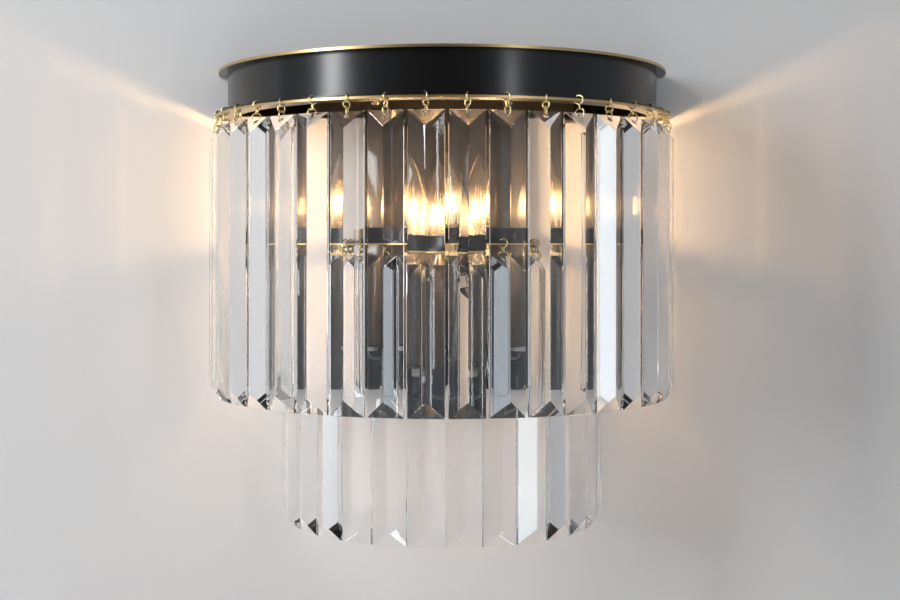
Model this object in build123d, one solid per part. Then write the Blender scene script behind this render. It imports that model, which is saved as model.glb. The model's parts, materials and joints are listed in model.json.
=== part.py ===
from build123d import *

import os
from math import asin, atan, cos, degrees, floor, hypot, pi, sqrt

# Half-round wall sconce with two tiers of hanging crystal prisms.
# Millimetres, +Z up, +X to the right. The wall is the plane Y = 0 and the light stands out towards -Y.
# The origin is the centre of the wall strap's slots, on the wall.

# Drum: top plate, band and outer hanging rail
SHEET = 1.5  # folded and rolled sheet steel
STRAP_TO_DRUM_TOP = 18.5  # underside of the top plate above the wall strap's centre line
DRUM_RADIUS = 162.0  # outside of the band
DRUM_HEIGHT = 30.0
TOP_PLATE_OVERHANG = 7.0
TOP_PLATE_THICKNESS = 1.9

# Hanging rails: sheet folded back on itself, so that the rim shows two layers
RAIL_THICKNESS = 3.0
RAIL_TOP_LAYER = 0.9
RAIL_CREASE = 0.4  # height and depth of the crease between the layers
OUTER_RAIL_OVERHANG = 9.0  # past the drum band
OUTER_RAIL_INSET = 6.0  # inside the drum band
INNER_RAIL_OVERHANG = 6.5
INNER_RAIL_INSET = 5.5

# Inner ring: band, rail and the straight strip that closes it at the back
TIER_DROP = 94.8  # from the outer rail's top to the inner rail's top
INNER_BAND_RADIUS = 109.5
INNER_BAND_HEIGHT = 8.7

# Crystal prisms: flat back, two sloping front faces, ends cut back to the ridge
PRISM_LENGTH = 200.0
PRISM_WIDTH = 24.4
PRISM_EDGE = 2.0  # depth of the narrow side faces
PRISM_DEPTH = 8.5  # back face to ridge
PRISM_END = 11.1  # length of the sloping end facet
PRISM_HOLE_DROP = 3.5  # hole centre below the top of the glass
PRISM_LEAST_GAP = 0.9  # between the back corners of two neighbours

# Chains: an upper, a middle and a lower ring of brass wire carry each prism
WIRE = 1.0
HOLE_PLAY = 0.8  # of the wire in its holes, all round
RAIL_LAND = 2.6  # sheet between a rail's holes and its rim
LINK_GAP = 0.1  # between two linked wires, or a wire and what it hangs on
UPPER_RING_SAG = 0.4  # centre of the upper ring below the middle of the rail
MIDDLE_RING_PLAY = 0.9
LOWER_RING_STANDOFF = 0.98  # inside of the lower ring off the faces of the glass
HANG_GAP = 0.2  # between the lower ring and the glass over the hole
RING_SIDES = 8
HOLE_SIDES = 8
SMALL_SIDES = 12  # flat sides of screws, nuts, caps, holders and their holes, which stay light that way

# Back plate: a shallow pan over the wall strap
PAN_DEPTH = 18.0
PAN_SIDE_CLEARANCE = 2.4  # to the inside of the inner rail
PAN_TAIL = 36.0  # below the lamp bracket

# Wall strap and its screws
STRAP_LENGTH = 120.0
STRAP_WIDTH = 22.0
STRAP_THICKNESS = 2.0
SLOT_SPACING = 70.0
SLOT_LENGTH = 12.0
SLOT_WIDTH = 5.0
WIRE_HOLE_RADIUS = 6.0
STRAP_SCREW_SPACING = 100.0
STRAP_SCREW_RADIUS = 2.0
SCREW_CLEARANCE = 0.25
CAP_NUT_WIDTH = 8.0  # across its flats
CAP_NUT_HEX_HEIGHT = 3.2
CAP_NUT_DOME_HEIGHT = 3.0
EARTH_SCREW_OFFSET = 18.0

# Pan-head screws that fasten pieces to the back plate
SCREW_RADIUS = 2.0
SCREW_HEAD_RADIUS = 3.75
SCREW_HEAD_HEIGHT = 2.4
SCREW_REACH = 6.0  # of the shank behind the back plate's front sheet
STRIP_SCREW_SPACING = 120.0
BRACKET_SCREW_SPACING = 36.0

# Terminal block behind the back plate
BLOCK_LENGTH = 30.0
BLOCK_HEIGHT = 17.0
BLOCK_DEPTH = 9.0
BLOCK_DROP = 45.0  # its top below the wall strap's centre line
BLOCK_WAYS = 3

# Lamps: candle bulbs in sleeved holders on one bracket
LAMP_DROP = 8.7  # top of the sleeves below the inner rail's top
SIDE_LAMP_SPACING = 72.0
SIDE_LAMP_REACH = 52.0  # from the wall
BULB_RADIUS = 17.5
BULB_RAIL_CLEARANCE = 1.5  # front bulb to the inside of the inner rail
BULB_LENGTH = 72.0  # of the glass
BULB_SHOULDER = 24.0  # height of its widest place above the neck
BULB_WALL = 0.7
BULB_TIP_RADIUS = 0.6  # of the blunt end
BULB_RISE = 2.0  # neck above the top of the sleeve
BULB_STEPS = 4  # flat-sided steps below the shoulder, and as many above it
BULB_SIDES = 18
NECK_RADIUS = 7.0
CAP_LENGTH = 27.0
CAP_TIP_LENGTH = 4.0
FILAMENT_HEIGHT = 32.0  # above the neck
FILAMENT_LENGTH = 12.0
FILAMENT_RADIUS = 0.7
FILAMENT_SIDES = 6
STEM_RADIUS = 3.0
STEM_HEIGHT = 18.0
SLEEVE_RADIUS = 13.0
SLEEVE_WALL = 1.0
SLEEVE_LENGTH = 65.0
SLEEVE_SIDES = 24
HOLDER_SIDE_GAP = 1.0
HOLDER_TOP_DROP = 3.0  # below the top of the sleeve
HOLDER_BORE_GAP = 0.3
NIPPLE_RADIUS = 5.0
NIPPLE_WALL = 1.3
NIPPLE_ENGAGEMENT = 14.0  # in the holder
NIPPLE_HEAD_WIDTH = 14.0  # across its flats
NIPPLE_HEAD_HEIGHT = 4.0
BRACKET_THICKNESS = 2.0
BRACKET_MARGIN = 1.5  # round the sleeves
BRACKET_FLANGE_HEIGHT = 20.0
BRACKET_FLANGE_WIDTH = 56.0

# Leads from the terminal block through the back plate to the holders
LEAD_RADIUS = 1.2
LEAD_BEND = 5.0
LEAD_SIDES = 4
LEAD_SPACING = 2.8
LEAD_DROP = 9.0  # below the nipples
LEAD_RISE = 4.0  # towards the lamps
LEAD_SLACK = 2.0
GROMMET_BORE_GAP = 1.0
GROMMET_WALL = 2.0
GROMMET_LIP = 2.0

# Places that follow from the sizes above
DRUM_TOP = STRAP_TO_DRUM_TOP
OUTER_RAIL_TOP = DRUM_TOP - DRUM_HEIGHT
INNER_RAIL_TOP = OUTER_RAIL_TOP - TIER_DROP
TOP_PLATE_RADIUS = DRUM_RADIUS + TOP_PLATE_OVERHANG
OUTER_RAIL_RADIUS = DRUM_RADIUS + OUTER_RAIL_OVERHANG
OUTER_RAIL_BORE = DRUM_RADIUS - OUTER_RAIL_INSET
INNER_RAIL_RADIUS = INNER_BAND_RADIUS + INNER_RAIL_OVERHANG
INNER_RAIL_BORE = INNER_BAND_RADIUS - INNER_RAIL_INSET
INNER_STRIP_BOTTOM = INNER_RAIL_TOP
INNER_STRIP_SCREW_HEIGHT = INNER_STRIP_BOTTOM + INNER_BAND_HEIGHT / 2
PAN_HALF_WIDTH = sqrt(INNER_RAIL_BORE**2 - PAN_DEPTH**2) - PAN_SIDE_CLEARANCE

SLEEVE_TOP = INNER_RAIL_TOP - LAMP_DROP
BRACKET_TOP = SLEEVE_TOP - SLEEVE_LENGTH
BRACKET_BOTTOM = BRACKET_TOP - BRACKET_THICKNESS
BRACKET_SCREW_HEIGHT = BRACKET_BOTTOM + (BRACKET_FLANGE_HEIGHT + BRACKET_THICKNESS) / 2
NIPPLE_BOTTOM = BRACKET_BOTTOM - NIPPLE_HEAD_HEIGHT
NECK_HEIGHT = SLEEVE_TOP + BULB_RISE
HOLDER_TOP = SLEEVE_TOP - HOLDER_TOP_DROP
CAP_BOTTOM = NECK_HEIGHT - CAP_LENGTH
PAN_BOTTOM = BRACKET_BOTTOM - PAN_TAIL
FRONT_LAMP_REACH = INNER_RAIL_BORE - BULB_RAIL_CLEARANCE - BULB_RADIUS
LAMP_PLACES = [
    (-SIDE_LAMP_SPACING / 2, -SIDE_LAMP_REACH),
    (0.0, -FRONT_LAMP_REACH),
    (SIDE_LAMP_SPACING / 2, -SIDE_LAMP_REACH),
]
LEAD_LEVEL = NIPPLE_BOTTOM - LEAD_DROP
GROMMET_BORE = LEAD_SPACING + LEAD_RADIUS + GROMMET_BORE_GAP
GROMMET_RADIUS = GROMMET_BORE + GROMMET_WALL

# Chain and prism heights, measured down from the top of a rail, and distances from a rail's rim
HOLE_RADIUS = WIRE / 2 + HOLE_PLAY
GLASS_AT_HOLE = PRISM_EDGE + (PRISM_DEPTH - PRISM_EDGE) * PRISM_HOLE_DROP / PRISM_END
UPPER_RING_BORE = hypot(RAIL_LAND / 2, RAIL_THICKNESS / 2 + UPPER_RING_SAG) + LINK_GAP
MIDDLE_RING_BORE = WIRE + MIDDLE_RING_PLAY
LOWER_RING_BORE = GLASS_AT_HOLE / 2 + LOWER_RING_STANDOFF
UPPER_RING_DROP = RAIL_THICKNESS / 2 + UPPER_RING_SAG
MIDDLE_RING_DROP = UPPER_RING_DROP + UPPER_RING_BORE - LINK_GAP + MIDDLE_RING_BORE
LOWER_RING_DROP = MIDDLE_RING_DROP + MIDDLE_RING_BORE - LINK_GAP + LOWER_RING_BORE
GLASS_OVER_HOLE_REACH = LOWER_RING_BORE - HANG_GAP
HOLE_TOP_DROP = LOWER_RING_DROP + sqrt(GLASS_OVER_HOLE_REACH**2 - (GLASS_AT_HOLE / 2) ** 2)
PRISM_TOP_DROP = HOLE_TOP_DROP + HOLE_RADIUS - PRISM_HOLE_DROP
RIM_TO_CHAIN = RAIL_LAND / 2
RIM_TO_RAIL_HOLE = RAIL_LAND + HOLE_RADIUS
RIM_TO_PRISM_BACK = RIM_TO_CHAIN + GLASS_AT_HOLE / 2


def half_disc(radius):
    """Half disc on the front side of the wall."""
    front = Pos(0, -radius) * Rectangle(2 * radius, 2 * radius)
    return Circle(radius) & front


def half_ring(outer, inner, bottom, height):
    """Upright half ring, open at the wall."""
    return Pos(0, 0, bottom) * extrude(half_disc(outer) - half_disc(inner), height)


def least_prism_pitch(prism_back):
    """Smallest angle between two prisms whose back corners keep the least gap."""
    corner = hypot(prism_back, PRISM_WIDTH / 2)
    lean = asin(PRISM_WIDTH / 2 / corner)
    return 2 * (lean + asin(PRISM_LEAST_GAP / 2 / corner))


def prism_angles(rail_radius):
    """Angles of the chains round a rail, left to right, with 0 straight out from the wall."""
    prism_back = rail_radius - RIM_TO_PRISM_BACK
    count = floor(pi / least_prism_pitch(prism_back))
    pitch = 180.0 / count
    return [-90.0 + pitch * (place + 0.5) for place in range(count)]


OUTER_ANGLES = prism_angles(OUTER_RAIL_RADIUS)
INNER_ANGLES = prism_angles(INNER_RAIL_RADIUS)
TIERS = [
    ("outer", OUTER_RAIL_RADIUS, OUTER_RAIL_TOP, OUTER_ANGLES),
    ("inner", INNER_RAIL_RADIUS, INNER_RAIL_TOP, INNER_ANGLES),
]


def on_rail(angle, rail_radius, rim_inset, height):
    """Place on a rail at an angle, a distance in from the rim, turned to face outwards."""
    return Rot(0, 0, angle) * Pos(0, rim_inset - rail_radius, height)


def top_plate():
    return Pos(0, 0, DRUM_TOP) * extrude(half_disc(TOP_PLATE_RADIUS), TOP_PLATE_THICKNESS)


def drum_band():
    return half_ring(DRUM_RADIUS, DRUM_RADIUS - SHEET, OUTER_RAIL_TOP, DRUM_HEIGHT)


def chain_hole():
    """Hole that a ring passes through, with few sides so that the many copies stay light."""
    return RegularPolygon(HOLE_RADIUS, HOLE_SIDES, major_radius=False, rotation=180 / HOLE_SIDES)


def hanging_rail(radius, bore, top, angles):
    """Flat half ring with a creased rim and one hole for each chain."""
    rail = half_ring(radius, bore, top - RAIL_THICKNESS, RAIL_THICKNESS)
    crease_bottom = top - RAIL_TOP_LAYER - RAIL_CREASE
    rail -= half_ring(radius, radius - RAIL_CREASE, crease_bottom, RAIL_CREASE)
    punch = extrude(chain_hole(), RAIL_THICKNESS)
    bottom = top - RAIL_THICKNESS
    return rail - [on_rail(angle, radius, RIM_TO_RAIL_HOLE, bottom) * punch for angle in angles]


def inner_band():
    radius = INNER_BAND_RADIUS
    return half_ring(radius, radius - SHEET, INNER_RAIL_TOP, INNER_BAND_HEIGHT)


def inner_back_strip():
    """Strip across the back plate, its ends shaped to the inside of the inner band."""
    strip_face = half_disc(INNER_BAND_RADIUS - SHEET) & (
        Pos(0, -PAN_DEPTH - SHEET / 2) * Rectangle(2 * INNER_BAND_RADIUS, SHEET)
    )
    strip = Pos(0, 0, INNER_STRIP_BOTTOM) * extrude(strip_face, INNER_BAND_HEIGHT)
    return strip - [screw_hole(x, INNER_STRIP_SCREW_HEIGHT) for x in spread(STRIP_SCREW_SPACING)]


def chain_ring(bore):
    """Faceted wire ring about the X axis."""
    turn = 180 / RING_SIDES
    rim = RegularPolygon(bore + WIRE, RING_SIDES, major_radius=False, rotation=turn)
    eye = RegularPolygon(bore, RING_SIDES, major_radius=False, rotation=turn)
    return Rot(0, 90, 0) * extrude(rim - eye, WIRE / 2, both=True)


def chain_rings(bore, drop, quarter_turn):
    """The rings at one place in every chain of both tiers."""
    ring = Rot(0, 0, 90 if quarter_turn else 0) * chain_ring(bore)
    return [
        on_rail(angle, radius, RIM_TO_CHAIN, top - drop) * ring
        for _, radius, top, angles in TIERS
        for angle in angles
    ]


def prism():
    """One crystal, its back face on Y = 0 and its top on Z = 0, ridge towards -Y."""
    half = PRISM_WIDTH / 2
    section = Polyline(
        (-half, 0), (half, 0), (half, -PRISM_EDGE), (0, -PRISM_DEPTH), (-half, -PRISM_EDGE), close=True
    )
    bar = Pos(0, 0, -PRISM_LENGTH) * extrude(make_face(section), PRISM_LENGTH)
    side = Polyline(
        (0, 0),
        (-PRISM_EDGE, 0),
        (-PRISM_DEPTH, -PRISM_END),
        (-PRISM_DEPTH, PRISM_END - PRISM_LENGTH),
        (-PRISM_EDGE, -PRISM_LENGTH),
        (0, -PRISM_LENGTH),
        close=True,
    )
    ends = extrude(Plane.YZ * make_face(side), half, both=True)
    drill = extrude(Plane.XZ * chain_hole(), PRISM_DEPTH)
    return (bar & ends) - Pos(0, 0, -PRISM_HOLE_DROP) * drill


def small_round(radius):
    """Section of a small round piece or hole, its corners on the circle."""
    return RegularPolygon(radius, SMALL_SIDES)


def flared(radius, end_radius, height, sides):
    """Flat-sided length on Z = 0 that runs from one radius to another, both to its corners."""
    wide = max(radius, end_radius)
    lean = degrees(atan(abs(radius - end_radius) * cos(pi / sides) / height))
    narrowing = extrude(RegularPolygon(wide, sides), height, taper=lean)
    return narrowing if radius == wide else Pos(0, 0, height) * Rot(180, 0, 0) * narrowing


def spread(spacing):
    """Two places either side of the middle."""
    return (-spacing / 2, spacing / 2)


def screw_hole(x, height):
    """Clearance hole through the back plate's front sheet and what is screwed to it."""
    drill = extrude(small_round(SCREW_RADIUS + SCREW_CLEARANCE), 2 * SHEET + BRACKET_THICKNESS, both=True)
    return Pos(x, -PAN_DEPTH, height) * Rot(90, 0, 0) * drill


def wall_plate():
    """Open-backed pan, from under the top plate to below the lamp bracket."""
    height = DRUM_TOP - PAN_BOTTOM
    middle = (DRUM_TOP + PAN_BOTTOM) / 2
    pan = Pos(0, -PAN_DEPTH / 2, middle) * Box(2 * PAN_HALF_WIDTH, PAN_DEPTH, height)
    room = Box(2 * (PAN_HALF_WIDTH - SHEET), PAN_DEPTH, height - 2 * SHEET)
    pan -= Pos(0, SHEET - PAN_DEPTH / 2, middle) * room
    pan -= [screw_hole(x, 0) for x in spread(STRAP_SCREW_SPACING)]
    pan -= [screw_hole(x, INNER_STRIP_SCREW_HEIGHT) for x in spread(STRIP_SCREW_SPACING)]
    pan -= [screw_hole(x, BRACKET_SCREW_HEIGHT) for x in spread(BRACKET_SCREW_SPACING)]
    grommet_room = extrude(small_round(GROMMET_RADIUS), 2 * SHEET, both=True)
    return pan - Pos(0, -PAN_DEPTH, LEAD_LEVEL) * Rot(90, 0, 0) * grommet_room


def wall_strap():
    """Flat bar on the wall with two slots, two threaded holes, an earth hole and a wire hole."""
    outline = Rectangle(STRAP_LENGTH, STRAP_WIDTH)
    outline -= [Pos(x, 0) * SlotOverall(SLOT_LENGTH, SLOT_WIDTH) for x in spread(SLOT_SPACING)]
    outline -= [Pos(x, 0) * small_round(STRAP_SCREW_RADIUS) for x in spread(STRAP_SCREW_SPACING)]
    outline -= Circle(WIRE_HOLE_RADIUS)
    outline -= Pos(EARTH_SCREW_OFFSET, 0) * small_round(SCREW_RADIUS)
    return extrude(Plane.XZ * outline, STRAP_THICKNESS)


def strap_screws():
    """Machine screws held in the strap, long enough for the cap nuts."""
    length = PAN_DEPTH + CAP_NUT_HEX_HEIGHT
    shank = extrude(Plane.XZ * small_round(STRAP_SCREW_RADIUS), length)
    return [Pos(x, 0, 0) * shank for x in spread(STRAP_SCREW_SPACING)]


def cap_nuts():
    """Domed nuts on the front of the back plate."""
    hexagon = RegularPolygon(CAP_NUT_WIDTH / 2, 6, major_radius=False)
    dome = flared(CAP_NUT_WIDTH / 2, CAP_NUT_WIDTH / 4, CAP_NUT_DOME_HEIGHT, SMALL_SIDES)
    bore = extrude(small_round(STRAP_SCREW_RADIUS), CAP_NUT_HEX_HEIGHT)
    nut = extrude(hexagon, CAP_NUT_HEX_HEIGHT) + Pos(0, 0, CAP_NUT_HEX_HEIGHT) * dome - bore
    return [Pos(x, -PAN_DEPTH, 0) * Rot(90, 0, 0) * nut for x in spread(STRAP_SCREW_SPACING)]


def pan_head_screw(reach):
    """Screw along Y whose head sits in front of the plane Y = 0."""
    shank = Plane.XZ.offset(-reach) * small_round(SCREW_RADIUS)
    head = extrude(Plane.XZ * small_round(SCREW_HEAD_RADIUS), SCREW_HEAD_HEIGHT)
    return head + extrude(shank, reach)


def plate_screws():
    """The screws of the inner ring's strip and of the lamp bracket."""
    screw = pan_head_screw(SCREW_REACH)
    strip_front = -PAN_DEPTH - SHEET
    bracket_front = -PAN_DEPTH - BRACKET_THICKNESS
    strip = [Pos(x, strip_front, INNER_STRIP_SCREW_HEIGHT) * screw for x in spread(STRIP_SCREW_SPACING)]
    bracket = [Pos(x, bracket_front, BRACKET_SCREW_HEIGHT) * screw for x in spread(BRACKET_SCREW_SPACING)]
    return strip + bracket


def earth_screw():
    return Pos(EARTH_SCREW_OFFSET, -STRAP_THICKNESS, 0) * pan_head_screw(STRAP_THICKNESS)


def terminal_block():
    """Three-way block on the back of the front sheet, one lead entry a way in its lower face."""
    block = Box(BLOCK_LENGTH, BLOCK_DEPTH, BLOCK_HEIGHT)
    way = BLOCK_LENGTH / BLOCK_WAYS
    notch = Box(SHEET, BLOCK_DEPTH / 2, BLOCK_HEIGHT)
    for place in range(1, BLOCK_WAYS):
        block -= Pos(place * way - BLOCK_LENGTH / 2, BLOCK_DEPTH / 2, 0) * notch
    middle = SHEET - PAN_DEPTH + BLOCK_DEPTH / 2
    return Pos(0, middle, -BLOCK_DROP - BLOCK_HEIGHT / 2) * block


def plate_grommet():
    """Rubber ring in the back plate's lead hole, with a lip on each side of the sheet."""
    body = extrude(small_round(GROMMET_RADIUS), SHEET / 2, both=True)
    lip = extrude(small_round(GROMMET_RADIUS + GROMMET_LIP), GROMMET_LIP)
    ring = body + Pos(0, 0, SHEET / 2) * lip + Pos(0, 0, -SHEET / 2 - GROMMET_LIP) * lip
    ring -= extrude(small_round(GROMMET_BORE), SHEET / 2 + GROMMET_LIP, both=True)
    return Pos(0, SHEET / 2 - PAN_DEPTH, LEAD_LEVEL) * Rot(90, 0, 0) * ring


def lamp_bracket():
    """Flat plate under the three holders with a flange against the back plate."""
    seat_radius = SLEEVE_RADIUS + BRACKET_MARGIN
    seats = [Pos(x, y) * Circle(seat_radius) for x, y in LAMP_PLACES]
    root = Pos(0, -PAN_DEPTH - BRACKET_THICKNESS / 2) * Rectangle(BRACKET_FLANGE_WIDTH, BRACKET_THICKNESS)
    outline = make_hull([edge for shape in [*seats, root] for edge in shape.edges()])
    outline -= [Pos(x, y) * small_round(NIPPLE_RADIUS) for x, y in LAMP_PLACES]
    plate = Pos(0, 0, BRACKET_BOTTOM) * extrude(outline, BRACKET_THICKNESS)
    flange = Box(BRACKET_FLANGE_WIDTH, BRACKET_THICKNESS, BRACKET_FLANGE_HEIGHT)
    flange_middle = BRACKET_BOTTOM + BRACKET_FLANGE_HEIGHT / 2
    plate += Pos(0, -PAN_DEPTH - BRACKET_THICKNESS / 2, flange_middle) * flange
    return plate - [screw_hole(x, BRACKET_SCREW_HEIGHT) for x in spread(BRACKET_SCREW_SPACING)]


def at_lamps(piece, height):
    """One copy of a piece at each lamp."""
    return [Pos(x, y, height) * piece for x, y in LAMP_PLACES]


def candle_sleeves():
    outside = RegularPolygon(SLEEVE_RADIUS, SLEEVE_SIDES)
    inside = RegularPolygon(SLEEVE_RADIUS - SLEEVE_WALL, SLEEVE_SIDES)
    return at_lamps(extrude(outside - inside, SLEEVE_LENGTH), BRACKET_TOP)


def lamp_holders():
    """Holder with a bore for the bulb's cap above and the nipple's hole below."""
    radius = SLEEVE_RADIUS - SLEEVE_WALL - HOLDER_SIDE_GAP
    height = HOLDER_TOP - BRACKET_TOP
    body = extrude(small_round(radius), height)
    cap_room = HOLDER_TOP - CAP_BOTTOM + HOLDER_BORE_GAP
    body -= Pos(0, 0, height - cap_room) * extrude(small_round(NECK_RADIUS + HOLDER_BORE_GAP), cap_room)
    body -= extrude(small_round(NIPPLE_RADIUS), NIPPLE_ENGAGEMENT + HOLDER_BORE_GAP)
    return at_lamps(body, BRACKET_TOP)


def holder_nipples():
    """Hollow screws up through the bracket into the holders, with a hexagonal head below."""
    shank = extrude(small_round(NIPPLE_RADIUS), BRACKET_THICKNESS + NIPPLE_ENGAGEMENT)
    hexagon = RegularPolygon(NIPPLE_HEAD_WIDTH / 2, 6, major_radius=False)
    nipple = Pos(0, 0, NIPPLE_HEAD_HEIGHT) * shank + extrude(hexagon, NIPPLE_HEAD_HEIGHT)
    length = NIPPLE_HEAD_HEIGHT + BRACKET_THICKNESS + NIPPLE_ENGAGEMENT
    nipple -= extrude(small_round(NIPPLE_RADIUS - NIPPLE_WALL), length)
    return at_lamps(nipple, NIPPLE_BOTTOM)


def bulb_form(inset):
    """Candle bulb taken in by an inset, in flat-sided steps along the two curves of its outline."""
    neck = NECK_RADIUS - inset
    widest = BULB_RADIUS - inset
    tip = BULB_LENGTH - inset
    bulge = (BULB_SHOULDER + tip) / 2
    flare = (neck + widest) / 2
    lower = Bezier((neck, 0), (flare, BULB_SHOULDER / 3), (widest, BULB_SHOULDER / 2), (widest, BULB_SHOULDER))
    taper = (bulge + 2 * tip) / 3
    upper = Bezier((widest, BULB_SHOULDER), (widest, bulge), (neck, taper), (BULB_TIP_RADIUS, tip))
    corners = [lower @ (step / BULB_STEPS) for step in range(BULB_STEPS)]
    corners += [upper @ (step / BULB_STEPS) for step in range(BULB_STEPS + 1)]
    return Part() + [
        Pos(0, 0, foot.Y) * flared(foot.X, head.X, head.Y - foot.Y, BULB_SIDES)
        for foot, head in zip(corners, corners[1:])
    ]


def bulb_glasses():
    """Clear candle bulbs, open at the neck where the cap closes them."""
    return at_lamps(bulb_form(0) - bulb_form(BULB_WALL), NECK_HEIGHT)


def bulb_caps():
    """Screw cap with its contact tip."""
    shell_length = CAP_LENGTH - CAP_TIP_LENGTH
    shell = Pos(0, 0, CAP_TIP_LENGTH) * extrude(small_round(NECK_RADIUS), shell_length)
    tip = flared(NECK_RADIUS / 2, NECK_RADIUS, CAP_TIP_LENGTH, SMALL_SIDES)
    return at_lamps(shell + tip, CAP_BOTTOM)


def bulb_filaments():
    """Glass stem with two support wires and the filament across them."""
    stem = extrude(RegularPolygon(STEM_RADIUS, FILAMENT_SIDES), STEM_HEIGHT)
    reach = FILAMENT_LENGTH / 2 - FILAMENT_RADIUS
    support_length = hypot(reach, FILAMENT_HEIGHT - STEM_HEIGHT)
    support = extrude(RegularPolygon(FILAMENT_RADIUS / 2, FILAMENT_SIDES), support_length)
    lean = degrees(asin(reach / support_length))
    wire = extrude(RegularPolygon(FILAMENT_RADIUS, FILAMENT_SIDES), FILAMENT_LENGTH / 2, both=True)
    filament = Pos(0, 0, FILAMENT_HEIGHT) * Rot(0, 90, 0) * wire
    assembly = stem + filament
    for side in (-1, 1):
        assembly += Pos(0, 0, STEM_HEIGHT) * Rot(0, side * lean, 0) * support
    return at_lamps(assembly, NECK_HEIGHT)


def lamp_leads():
    """One lead from each way of the block, through the grommet and up into a nipple."""
    way = BLOCK_LENGTH / BLOCK_WAYS
    behind = SHEET - PAN_DEPTH + BLOCK_DEPTH / 2
    block_bottom = -BLOCK_DROP - BLOCK_HEIGHT
    section = RegularPolygon(LEAD_RADIUS, LEAD_SIDES)
    leads = []
    for side, (x, y) in zip((-1, 0, 1), LAMP_PLACES):
        path = FilletPolyline(
            (side * way, behind, block_bottom),
            (side * way, behind + LEAD_SLACK, (block_bottom + LEAD_LEVEL) / 2),
            (side * LEAD_SPACING, behind, LEAD_LEVEL),
            (side * LEAD_SPACING, -PAN_DEPTH - 2 * LEAD_BEND, LEAD_LEVEL),
            (x, y, LEAD_LEVEL + LEAD_RISE),
            (x, y, BRACKET_BOTTOM),
            radius=LEAD_BEND,
        )
        leads.append(sweep(Plane(path @ 0, z_dir=(0, 0, -1)) * section, path))
    return leads


def write(node, piece):
    """One STEP file for a sub-part, holding one solid or a group of separate solids."""
    groups = piece if isinstance(piece, list) else [piece]
    solids = [solid for group in groups for solid in group.solids()]
    export_step(Compound(label=node, children=solids), f"parts/{node}.step")


os.makedirs("parts", exist_ok=True)

write("top_plate", top_plate())
write("drum_band", drum_band())
write("outer_rail", hanging_rail(OUTER_RAIL_RADIUS, OUTER_RAIL_BORE, OUTER_RAIL_TOP, OUTER_ANGLES))
write("inner_band", inner_band())
write("inner_rail", hanging_rail(INNER_RAIL_RADIUS, INNER_RAIL_BORE, INNER_RAIL_TOP, INNER_ANGLES))
write("inner_back_strip", inner_back_strip())
write("upper_rings", chain_rings(UPPER_RING_BORE, UPPER_RING_DROP, quarter_turn=False))
write("middle_rings", chain_rings(MIDDLE_RING_BORE, MIDDLE_RING_DROP, quarter_turn=True))
write("lower_rings", chain_rings(LOWER_RING_BORE, LOWER_RING_DROP, quarter_turn=False))
write("wall_plate", wall_plate())
write("wall_strap", wall_strap())
write("strap_screws", strap_screws())
write("cap_nuts", cap_nuts())
write("plate_screws", plate_screws())
write("earth_screw", earth_screw())
write("terminal_block", terminal_block())
write("plate_grommet", plate_grommet())
write("lamp_bracket", lamp_bracket())
write("lamp_holders", lamp_holders())
write("holder_nipples", holder_nipples())
write("candle_sleeves", candle_sleeves())
write("bulb_caps", bulb_caps())
write("bulb_glasses", bulb_glasses())
write("bulb_filaments", bulb_filaments())
write("lamp_leads", lamp_leads())

crystal = prism()
for tier, rail_radius, rail_top, angles in TIERS:
    for number, angle in enumerate(angles, start=1):
        place = on_rail(angle, rail_radius, RIM_TO_PRISM_BACK, rail_top - PRISM_TOP_DROP)
        write(f"{tier}_prism_{number:02d}", place * crystal)
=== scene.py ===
import json
from math import cos, pi, radians, sin

import bmesh
import bpy
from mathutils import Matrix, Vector


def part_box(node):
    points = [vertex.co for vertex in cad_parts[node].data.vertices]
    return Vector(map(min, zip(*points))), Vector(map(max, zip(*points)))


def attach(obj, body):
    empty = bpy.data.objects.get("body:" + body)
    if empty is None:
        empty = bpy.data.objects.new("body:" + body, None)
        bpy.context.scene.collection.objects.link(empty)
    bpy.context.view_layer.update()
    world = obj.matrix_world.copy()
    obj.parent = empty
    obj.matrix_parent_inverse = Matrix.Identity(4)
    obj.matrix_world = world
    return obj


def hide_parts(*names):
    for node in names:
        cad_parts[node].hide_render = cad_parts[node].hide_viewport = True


# Half-round crystal wall light. Metres, +Z up, the wall is the plane Y = 0 and the light stands out
# towards -Y.

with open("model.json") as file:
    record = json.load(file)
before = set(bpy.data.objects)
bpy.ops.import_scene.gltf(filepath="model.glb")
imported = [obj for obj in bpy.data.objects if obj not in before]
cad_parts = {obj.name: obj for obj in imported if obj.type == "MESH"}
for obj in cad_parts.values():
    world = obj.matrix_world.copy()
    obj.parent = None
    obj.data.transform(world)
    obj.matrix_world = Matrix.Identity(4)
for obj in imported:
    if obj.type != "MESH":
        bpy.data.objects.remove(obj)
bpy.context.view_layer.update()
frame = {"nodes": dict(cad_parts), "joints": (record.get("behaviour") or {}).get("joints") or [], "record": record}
MM = 0.001
FRAME_BODY = "frame"
SLOTS = {row["node"]: row["material_slot"] for row in frame["record"]["subparts"]}

# Camera, found from the rims, the chains and the ends of the prisms in the photograph
IMAGE_WIDTH = 900
CAMERA_PLACE = (-0.0218, -1.083, -0.113)
FOCAL_PIXELS = 1416
SENSOR = 36.0
BOUNCES = 24  # enough to see through several prisms in a row
PRINCIPAL_RIGHT = -37 / IMAGE_WIDTH  # of the picture's middle, in widths
PRINCIPAL_UP = -50 / IMAGE_WIDTH

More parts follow.
